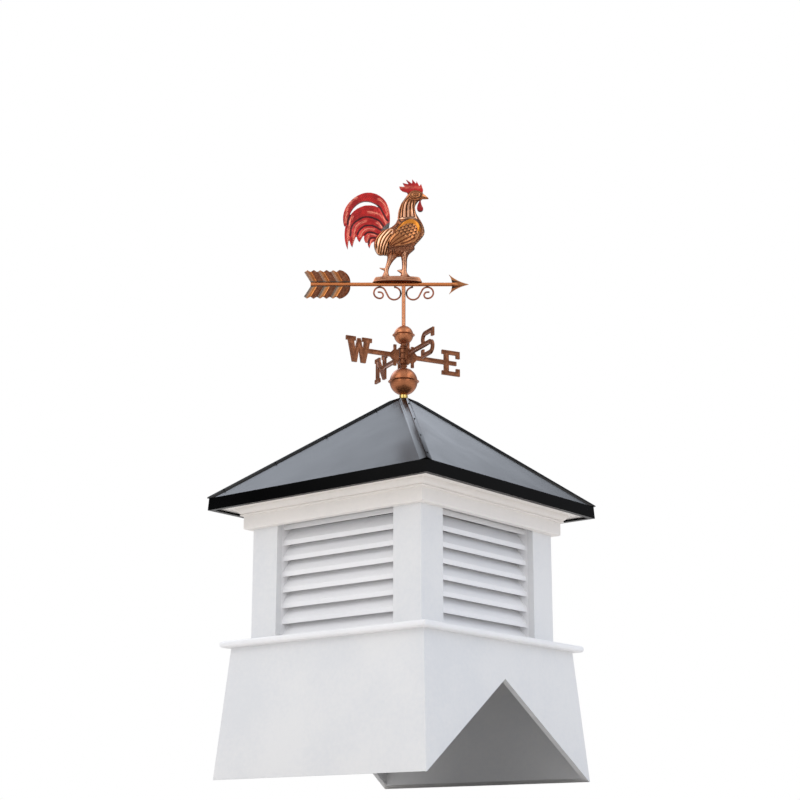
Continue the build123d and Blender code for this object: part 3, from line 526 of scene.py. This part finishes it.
def makeRooster():
    piece = remeshedCopy("rooster_body", "roosterBody", rooster)
    places, normals = spots(piece), spots(piece, "normal")
    facing = np.abs(normals @ sideways)
    u, w = onVane(places)
    # the regions
    wing = inside(rooster["wing"], u, w)
    neck = (w > rooster["neckLevel"]) & ~wing
    head = w > rooster["headLevel"]
    rump = inside(rooster["rumpSide"], u, w) & ~wing
    scaled = inside(rooster["scaled"], u, w)
    breast = inside(rooster["breastScales"], u, w) & ~wing
    rim = lineDistance((rooster["crescent"],), u, w)
    crescent = wing & ~scaled & (w > rooster["crescentLevel"]) & (rim < rooster["crescentReach"])
    bars = wing & ~scaled & ~crescent
    thighU, thighW = rooster["thigh"]
    legs = (w < rooster["legLevel"]) | ((w < thighW) & (u > thighU)) & ~rump
    bellyLow, bellyHigh = rooster["belly"]
    belly = (w < bellyHigh) & ~wing & ~rump & (w > bellyLow)
    # broad grooves of neck and rump, fine ones of wing, breast, thighs and face
    broad = np.where(wing, 9.0, lineDistance(rooster["hackles"] + rooster["rump"], u, w))
    fineLines = rooster["quills"] + rooster["thighs"] + rooster["face"] + (rooster["breast"],)
    fine = lineDistance(fineLines, u, w)
    border = lineDistance((rooster["wing"] + rooster["wing"][:1],) + rooster["neckFoot"], u, w)
    height = ramp(broad, *rooster["broadGroove"]) * atLeast(0.25, ramp(border, *rooster["borderGroove"]))
    height = height * atLeast(0.3, ramp(fine, *rooster["fineGroove"]))
    roundFeathers, smallFeathers = wingFeathers(u, w), breastFeathers(u, w)
    height = np.where(scaled, roundFeathers, height)
    height = np.where(breast, smallFeathers, height)
    # rings round the eye, and soft down on what is left
    (eyeU, eyeW), (eyeLength, eyeHeight) = rooster["eye"], rooster["eyeSize"]
    eye = np.hypot((u - eyeU) / eyeLength, (w - eyeW) / eyeHeight)
    rings = np.maximum(peak(eye, 1.0, 0.13), peak(eye, 0.48, 0.13))
    height = np.where(w > rooster["ringLevel"], height * (1 - 0.75 * rings), height)
    down = 0.5 + 0.5 * np.sin(1.15 * u + 2 * np.sin(0.5 * w)) * np.sin(1.25 * w + 2 * np.sin(0.6 * u))
    plain = ~wing & ~neck & ~rump & ~breast & (w > rooster["downLevel"])
    height = np.where(plain, height * atLeast(0.5, ramp(down, 0.1, 0.6)), height)
    # tones, each region over the ones before
    beak = (u > rooster["beak"][0]) * (w > rooster["beak"][1])
    toneAndHighlight = np.where(neck, featherTone("neck", ramp(broad, 1.5, 4.0)), featherTone("plain"))
    toneAndHighlight = np.where(rump, featherTone("rump", ramp(broad, 1.0, 3.2)), toneAndHighlight)
    toneAndHighlight = np.where(wing, featherTone("wing"), toneAndHighlight)
    toneAndHighlight = np.where(scaled, featherTone("scales", roundFeathers), toneAndHighlight)
    toneAndHighlight = np.where(crescent, featherTone("crescent"), toneAndHighlight)
    toneAndHighlight = np.where(bars, featherTone("bars", ramp(fine, 1.4, 3.2)), toneAndHighlight)
    toneAndHighlight = np.where(breast, featherTone("breast", smallFeathers), toneAndHighlight)
    toneAndHighlight = np.where(head, featherTone("head", peak(eye, 0.75, 0.15) + beak), toneAndHighlight)
    # the legs are lighter where they face the sides straight on: a painted highlight down their middle
    toneAndHighlight = np.where(legs, featherTone("legs", ramp(facing, 0.7, 1.0)), toneAndHighlight)
    gold = np.where(neck | rump, 1 - ramp(broad, 1.8, 3.6), rooster["golden"]["plain"])
    for part, region in (("wing", wing), ("crescent", crescent), ("head", head), ("legs", legs)):
        gold = np.where(region, rooster["golden"][part], gold)
    # the outline darkens where the surface turns away from the flat sides: painted shade, with shallower relief
    # there
    turned = atLeast(0.3, ramp(facing, 0.1, 0.6))
    lift = (height - rooster["midHeight"]) * rooster["depth"] * turned
    moveSpots(piece, places + normals * lift[:, None])
    mark(piece, "reliefAndShade", height * turned)
    mark(piece, "toneAndHighlight", toneAndHighlight)
    mark(piece, "gold", gold)
    mark(piece, "patina", darkPlaces(u, w, belly, wing, border))
    settle(piece, "vane", "rooster_copper", "rooster_body")
    print("rooster ready:", len(piece.data.vertices), "points")


tail = {
    "voxel": 0.0012, "smooth": 4, "depth": 0.0034, "midHeight": 0.7,
    "grooves": (
        ((-45, 188), (-51, 195), (-57, 208), (-63, 219), (-68, 229), (-75, 236)),
        ((-155, 206), (-160, 192), (-162, 177)),
        ((-55, 164), (-62, 177), (-70, 188), (-80, 194), (-92, 199), (-103, 201), (-116, 200), (-128, 194),
         (-140, 185), (-148, 175), (-152, 163), (-154, 143)),
        ((-60, 158), (-70, 163), (-79, 169), (-90, 174), (-102, 175), (-113, 173), (-122, 166), (-129, 158),
         (-134, 146)),
        ((-64, 147), (-76, 148), (-86, 152), (-96, 154), (-105, 153), (-112, 146)),
        ((-76, 136), (-86, 137), (-94, 136), (-100, 129), (-101, 118))),
    # lines along which a salmon painted highlight runs on the tail
    "lights": (
        ((-45, 239), (-44, 223), (-48, 206)), ((-73, 255), (-63, 248), (-54, 234), (-49, 217)),
        ((-136, 260), (-152, 247), (-162, 229), (-166, 208), (-168, 183)),
        ((-103, 215), (-86, 213), (-71, 207), (-60, 197), (-50, 180)),
        ((-147, 200), (-156, 186), (-159, 167), (-161, 143), (-159, 112)), ((-77, 182), (-64, 169)),
        ((-109, 188), (-128, 179), (-139, 167), (-143, 149), (-145, 118)),
        ((-86, 162), (-106, 163), (-119, 155), (-126, 140)),
        ((-83, 146), (-98, 146), (-105, 135), (-106, 126)), ((-90, 132), (-95, 123), (-96, 112))),
    "roots": ((-42, 176), (-56, 163), (-62, 150), (-74, 134)),
    "rootReach": 11.0, "streakWidth": 5.2, "highlightWidth": 4.2,
}


def makeTail():
    piece = remeshedCopy("rooster_tail", "roosterTail", tail)
    places, normals = spots(piece), spots(piece, "normal")
    facing = normals @ sideways
    u, w = onVane(places)
    groove = lineDistance(tail["grooves"], u, w)
    light = lineDistance(tail["lights"], u, w)
    root = 1 - ramp(lineDistance((tail["roots"],), u, w), 1.0, tail["rootReach"])
    streak = 0.5 + 0.5 * np.cos(2 * math.pi * groove / tail["streakWidth"])  # barbs run along each feather
    turned = atLeast(0.35, ramp(np.abs(facing), 0.1, 0.6))
    lift = (ramp(groove, 0.3, 8.0) - tail["midHeight"] - 0.12 * streak) * tail["depth"]
    pushSides(piece, places, facing, (0.2, 0.7), lift)
    # dark between the feathers and on turned edges: painted shade
    mark(piece, "reliefAndShade", ramp(groove, 0.2, 4.5) * atLeast(0.62, streak) * turned)
    # salmon painted highlight along the drawn lines, with the barb streaks
    mark(piece, "toneAndHighlight", peak(light, 0, tail["highlightWidth"]) * (0.45 + 0.45 * streak) + 0.15 * streak)
    mark(piece, "patina", root)
    settle(piece, "vane", "red_enamel", "rooster_tail")
    print("tail ready:", len(piece.data.vertices), "points")


trim = {"voxel": 0.0006, "smooth": 2, "combHighlight": 0.5, "wattleHighlight": 0.3}


def makeTrim(node, name, light):  # comb and wattle, their edges rounded
    piece = remeshedCopy(node, name, trim)
    places, normals = spots(piece), spots(piece, "normal")
    u, w = onVane(places)
    rise = (w - w.min()) / (w.max() - w.min())
    flat = ramp(np.abs(normals @ sideways), 0.1, 0.5)
    # darker towards the bottom of each piece, where the comb meets the head, and at turned edges: painted shade
    mark(piece, "reliefAndShade", atLeast(0.1, ramp(rise, 0.02, 0.25)) * atLeast(0.5, flat))
    # a band part way up and the top are lighter: painted highlight
    mark(piece, "toneAndHighlight", light * (peak(rise, 0.45, 0.14) + ramp(rise, 0.75, 1.0)))
    mark(piece, "patina", 0)
    settle(piece, "vane", "red_enamel", node)


feathers = {
    "voxel": 0.0013, "smooth": 2, "start": -286.0, "pitch": 18.5, "slant": 23.2, "half": 43.0, "bands": 6,
    "tilt": 0.0016, "barbWidth": 3.1, "barbDepth": 0.0003, "underTint": 0.22,
}


def makeArrowFeathers():  # light and dark bands, slanted back from the shaft: painted light on one slope of each feather and painted shade on the next
    piece = remeshedCopy("arrow_feathers", "arrowFeathers", feathers)
    places, normals = spots(piece), spots(piece, "normal")
    u, w = onVane(places)
    w = w + vane["shaftDrop"]
    slant = feathers["slant"] * (1 - np.abs(w) / feathers["half"])
    step = (u - feathers["start"] - slant) / feathers["pitch"]
    band = np.clip(np.floor(step), 0, feathers["bands"] - 1)
    part = np.clip(step - band, 0, 1)
    light = band % 2 == 0
    edge = np.where(step > feathers["bands"] - 0.5, 1.0, hill(np.maximum(step, 0.1)))
    nearShaft = 1 - ramp(np.abs(w), 6.5, 10)
    barb = hill((u + np.abs(w)) / feathers["barbWidth"])
    shown = atLeast(0.4, ramp(edge, 0.0, 0.3)) * atLeast(0.85, barb) * (1 - 0.6 * nearShaft)
    tilt = np.where(light, part, 1 - part) * feathers["tilt"] + barb * feathers["barbDepth"]
    pushSides(piece, places, normals @ sideways, (0.3, 0.8), tilt)
    under = feathers["underTint"] * (w < 0)
    lightTone = 0.6 + under - 0.25 * ramp(part, 0.2, 0.9)
    # the light bands' peach, gold and grey-to-orange run and the dark bands' brown are painted light and shade on
    # the slopes; darker in the creases and beside the shaft: painted shade
    mark(piece, "reliefAndShade", np.where(light, 0.75 + 0.25 * part, 0.62 - 0.12 * part) * shown)
    mark(piece, "toneAndHighlight", np.where(light, lightTone, 0.04 + 0.16 * hill(part)))
    mark(piece, "gold", np.where(light, 0.85 * ramp(part, 0.1, 0.7), 0.0))
    mark(piece, "patina", np.where(light, 0.6 * (1 - ramp(part, 0.0, 0.7)) + under, 0.0) + 0.5 * nearShaft)
    settle(piece, "vane", "rooster_copper", "arrow_feathers")


arrowHead = {
    "voxel": 0.0007, "smooth": 3, "tip": 188.0, "barbRise": 31, "barbRun": 59, "rim": (0.42, 0.62),
    "rib": (4.5, 7.5), "depth": 0.0016, "tone": 0.42, "gold": 0.7,
}


def makeArrowHead():  # a rib in the middle, hollows beside it and a raised rim
    piece = remeshedCopy("arrow_head", "arrowHead", arrowHead)
    places, normals = spots(piece), spots(piece, "normal")
    u, w = onVane(places)
    w = w + vane["shaftDrop"]
    half = (arrowHead["tip"] - u) * arrowHead["barbRise"] / arrowHead["barbRun"]  # from the tip straight to a barb
    rim = ramp(np.abs(w) / np.maximum(half, 1.0), *arrowHead["rim"])
    hollow = ramp(np.abs(w), *arrowHead["rib"]) * (1 - rim)
    pushSides(piece, places, normals @ sideways, (0.3, 0.8), -arrowHead["depth"] * hollow)
    point = (1 - ramp(np.abs(w), 1.0, 4.0)) * ramp(u, 150, 165)
    mark(piece, "reliefAndShade", 1 - 0.85 * hollow)
    mark(piece, "toneAndHighlight", arrowHead["tone"] + 0.2 * rim + 0.1 * point - 0.2 * (w < -3))
    mark(piece, "gold", arrowHead["gold"])
    mark(piece, "patina", 0.1 * hollow)
    settle(piece, "vane", "rooster_copper", "arrow_head")


mound = {"voxel": 0.0012, "smooth": 6, "rimHeight": (0.3, 1.5), "rimReach": (0.84, 0.92), "tone": 0.34, "gold": 0.15}


def makeMound():  # painted shade under its edge, and lighter towards the top: painted light
    piece = remeshedCopy("rooster_mound", "roosterMound", mound)
    places = spots(piece)
    u, w = onVane(places)
    aside = places @ sideways * 1000
    reach = np.hypot((u - u.mean()) / (np.ptp(u) / 2), (aside - aside.mean()) / (np.ptp(aside) / 2))
    under = 1 - ramp(w, *mound["rimHeight"])
    # darker under the rim: painted shade; lighter towards the top: painted light
    mark(piece, "reliefAndShade", 1 - under * atLeast(0.2, ramp(reach, *mound["rimReach"])))
    mark(piece, "toneAndHighlight", mound["tone"] + 0.2 * ramp(w, 8, 16) - 0.2 * under)
    mark(piece, "gold", mound["gold"])
    mark(piece, "patina", 0)
    settle(piece, "vane", "rooster_copper", "rooster_mound")


letters = {"rim": 0.0022, "step": 0.0006, "sink": 0.0012, "flatShare": 0.5}


def makeLetter(name):  # the arm's flat faces sink inside a raised rim
    piece = mergedCopy(f"{name}_arm", f"{name}Letter")
    edited(piece, (bpy.ops.mesh.dissolve_limited, {"angle_limit": math.radians(2)}))
    largest = max(face.area for face in piece.data.polygons)
    for part in (*piece.data.vertices, *piece.data.edges):
        part.select = False
    for face in piece.data.polygons:
        face.select = face.area > letters["flatShare"] * largest
    bpy.context.tool_settings.mesh_select_mode = (False, False, True)
    bpy.ops.object.mode_set(mode="EDIT")
    bpy.ops.mesh.inset(thickness=letters["rim"], depth=0)
    bpy.ops.mesh.inset(thickness=letters["step"], depth=-letters["sink"])
    bpy.ops.object.mode_set(mode="OBJECT")
    settle(piece, "cupola", "letter_copper", f"{name}_arm")


hipCap = {
    "profile": ((-15.8, -7.6), (-1.2, 5.0), (1.2, 5.0), (15.8, -7.6), (0, 0.25)),  # across the hip and out of it, mm
    "apex": 1.062, "rise": 308, "run": 379, "length": 0.66, "start": 0.02, "edge": 0.0006,
    "flat": 0.013, "bend": 0.2965,  # how far from the rod the cap bends down, and how steeply
    "mitreGap": 0.00015, "rivets": (0.092, 0.252, 0.412, 0.572), "rivetPlace": (6.0, 0.9), "rivetSize": 0.0026,
}


def makeHipCaps():  # the front right one is cut to its mitres, then copied round
    pitch = math.atan(hipCap["rise"] / (hipCap["run"] * math.sqrt(2)))
    up, out = Vector((0, 0, 1)), Vector((math.sqrt(0.5), -math.sqrt(0.5), 0))
    hip = out * math.cos(pitch) - up * math.sin(pitch)
    lift = out * math.sin(pitch) + up * math.cos(pitch)
    across = lift.cross(hip)
    apex = up * hipCap["apex"]

    def onCap(distance, spot):  # a place by its distance down the hip and its spot on the profile
        return apex + hip * distance + across * (spot[0] / 1000) + lift * (spot[1] / 1000)

    bpy.ops.object.select_all(action="DESELECT")
    bpy.ops.mesh.primitive_circle_add(vertices=len(hipCap["profile"]), radius=0.01, fill_type="NGON")
    cap = bpy.context.object
    for point, spot in zip(cap.data.vertices, hipCap["profile"]):
        point.co = onCap(-hipCap["start"], spot)
    edited(cap, (bpy.ops.mesh.extrude_region_move, {"TRANSFORM_OT_translate": {"value": hip * hipCap["length"]}}))
    lowest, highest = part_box("front_right_hip_cap")
    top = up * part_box("brass_collar")[0].z
    bend = (out * hipCap["bend"] + up).normalized()
    gap = hipCap["mitreGap"]
    cuts = (  # a place on each cutting plane, and the side that goes
        ((gap, 0, 0), (-1, 0, 0)), ((0, -gap, 0), (0, 1, 0)), (up * lowest.z, -up), (top, up),
        (out * highest.x * math.sqrt(2), out), (out * hipCap["flat"] + top, bend))
    edited(cap, *[(bpy.ops.mesh.bisect, {"plane_co": spot, "plane_no": way, "use_fill": True, "clear_outer": True})
                  for spot, way in cuts], (bpy.ops.mesh.normals_make_consistent, {}))
    applied(cap, "BEVEL", width=hipCap["edge"], segments=2, limit_method="ANGLE", angle_limit=math.radians(15))
    rivets = []
    for distance in hipCap["rivets"]:
        bpy.ops.object.select_all(action="DESELECT")
        bpy.ops.mesh.primitive_uv_sphere_add(segments=12, ring_count=8, radius=hipCap["rivetSize"],
                                             location=onCap(distance, hipCap["rivetPlace"]))
        rivets.append(bpy.context.object)
    work(cap)
    for rivet in rivets:
        rivet.select_set(True)
    bpy.ops.object.join()
    for number, corner in enumerate(hipCorners):
        copy = bpy.data.objects.new(corner.replace("_", "") + "HipCap", cap.data.copy())
        bpy.context.scene.collection.objects.link(copy)
        copy.data.transform(Matrix.Rotation(math.radians(90 * number), 4, "Z"))
        settle(copy, "cupola", "black_roof", f"{corner}_hip_cap")
    bpy.data.objects.remove(cap)
    print("hip caps ready")


makeRooster()
makeTail()
makeTrim("rooster_comb", "roosterComb", trim["combHighlight"])
makeTrim("rooster_wattle", "roosterWattle", trim["wattleHighlight"])
makeArrowFeathers()
makeArrowHead()
makeMound()
for point in ("north", "east", "south", "west"):
    makeLetter(point)
makeHipCaps()
print("pieces ready")


studio = {
    "floor": (0.88, 0.84, 0.79, 1), "floorSize": 40.0, "floorRoughness": 0.8,
    "frontLight": (0.98, 0.99, 1.02, 1), "rightLight": (0.92, 1.0, 1.14, 1), "backLight": (0.8, 0.84, 0.92, 1),
    "mirrorLow": (0.42, 0.42, 0.43, 1), "mirrorHigh": (0.95, 0.95, 0.97, 1), "mirrorStrip": (2.6, 2.5, 2.4, 1),
    "mirrorSide": (0.05, 0.05, 0.05, 1), "backLow": (0.30, 0.32, 0.36, 1), "backBright": (2.75, 2.95, 3.3, 1),
    "zenith": (0.03, 0.032, 0.036, 1), "backdrop": (1, 1, 1, 1),
    "behind": (-0.628, 0.778, 0), "rightSide": (0.95, 0.3, 0), "leftToRight": (0.777, 0.629, 0),
    "keyPower": 30.0, "keySize": 2.5, "keyPlace": (-2.2, -4.6, 3.4), "keyTarget": (0, 0, 0.7),
}


def makeFloor():
    bpy.ops.object.select_all(action="DESELECT")
    bpy.ops.mesh.primitive_plane_add(size=studio["floorSize"])
    floor = bpy.context.object
    floor.name = "floor"
    material, shader, place = newMaterial("paleFloor")
    feed(shader, "Base Color", studio["floor"])
    feed(shader, "Roughness", studio["floorRoughness"])
    # the camera stands lower than the object's foot, so the floor can be seen through from underneath
    tree = material.node_tree
    under = Wire(tree.nodes.new("ShaderNodeNewGeometry").outputs["Backfacing"])
    clear = Wire(tree.nodes.new("ShaderNodeBsdfTransparent").outputs[0])
    seen = under.make("ShaderNodeMixShader", {}, {0: under, 1: Wire(shader.outputs[0]), 2: clear})
    tree.links.new(seen.socket, tree.nodes["Material Output"].inputs["Surface"])
    floor.data.materials.append(material)


def lightAround(place, behind):  # what falls on the object
    right = place.towards(studio["rightSide"]).band(0.35, 0.95)
    return behind.blend(right.blend(studio["frontLight"], studio["rightLight"]), studio["backLight"])


def lightMirrored(place, behind):  # what paint and metal mirror: two strips in front, a bright band behind
    height = place.towards((0, 0, 1))
    aside = place.towards(studio["leftToRight"])
    leftStrip = aside.band(-0.72, -0.6) * (1 - aside.band(-0.45, -0.33))
    rightStrip = aside.band(0.4, 0.5) * (1 - aside.band(0.62, 0.72))
    strips = (leftStrip + rightStrip) * (1 - height.band(0.75, 0.9))
    front = height.band(0.1, 0.7).blend(studio["mirrorLow"], studio["mirrorHigh"])
    front = strips.blend(front, studio["mirrorStrip"])
    front = aside.band(-0.92, -0.78).blend(studio["mirrorSide"], front)
    glow = place.towards((-1, 0, 0)).band(0.2, 0.41) * height.band(0.3, 0.6) * (1 - height.band(0.69, 0.78))
    back = height.band(0.5, 0.8).blend(studio["backLow"], studio["zenith"])
    return behind.blend(front, glow.blend(back, studio["backBright"]))


def makeWorld():
    world = bpy.data.worlds.new("studio")
    bpy.context.scene.world = world
    world.use_nodes = True
    tree = world.node_tree
    place = Wire(tree.nodes.new("ShaderNodeTexCoord").outputs["Generated"])
    behind = place.towards(studio["behind"]).band(0.15, 0.55)
    rays = tree.nodes.new("ShaderNodeLightPath")
    mirroring, looking = Wire(rays.outputs["Is Glossy Ray"]), Wire(rays.outputs["Is Camera Ray"])
    light = mirroring.blend(lightAround(place, behind), lightMirrored(place, behind))
    shown = looking.blend(light, studio["backdrop"])
    tree.links.new(shown.socket, tree.nodes["Background"].inputs["Color"])


def makeKey():
    data = bpy.data.lights.new("keyLight", "AREA")
    data.energy = studio["keyPower"]
    data.size = studio["keySize"]
    key = bpy.data.objects.new("keyLight", data)
    bpy.context.scene.collection.objects.link(key)
    key.location = studio["keyPlace"]
    key.rotation_euler = (Vector(studio["keyTarget"]) - key.location).to_track_quat("-Z", "Y").to_euler()


view = {
    "azimuth": 38.92, "pitch": 15.35, "distance": 4.759, "target": 1.049,
    "focal": 1688.2, "axisPixel": 403.6, "frameWidth": 800, "sensor": 36.0,
}


def makeCamera():  # it looks up at the object
    turn, rise = math.radians(view["azimuth"]), math.radians(view["pitch"])
    back = Vector((math.sin(turn) * math.cos(rise), -math.cos(turn) * math.cos(rise), -math.sin(rise)))
    data = bpy.data.cameras.new("camera")
    data.sensor_width = view["sensor"]
    data.lens = view["sensor"] * view["focal"] / view["frameWidth"]
    data.shift_x = (view["frameWidth"] / 2 - view["axisPixel"]) / view["frameWidth"]
    camera = bpy.data.objects.new("camera", data)
    bpy.context.scene.collection.objects.link(camera)
    camera.location = Vector((0, 0, view["target"])) + back * view["distance"]
    camera.rotation_euler = (-back).to_track_quat("-Z", "Y").to_euler()
    bpy.context.scene.camera = camera


makeFloor()
makeWorld()
makeKey()
makeCamera()
bpy.context.scene.view_settings.view_transform = "Standard"
print("studio ready")
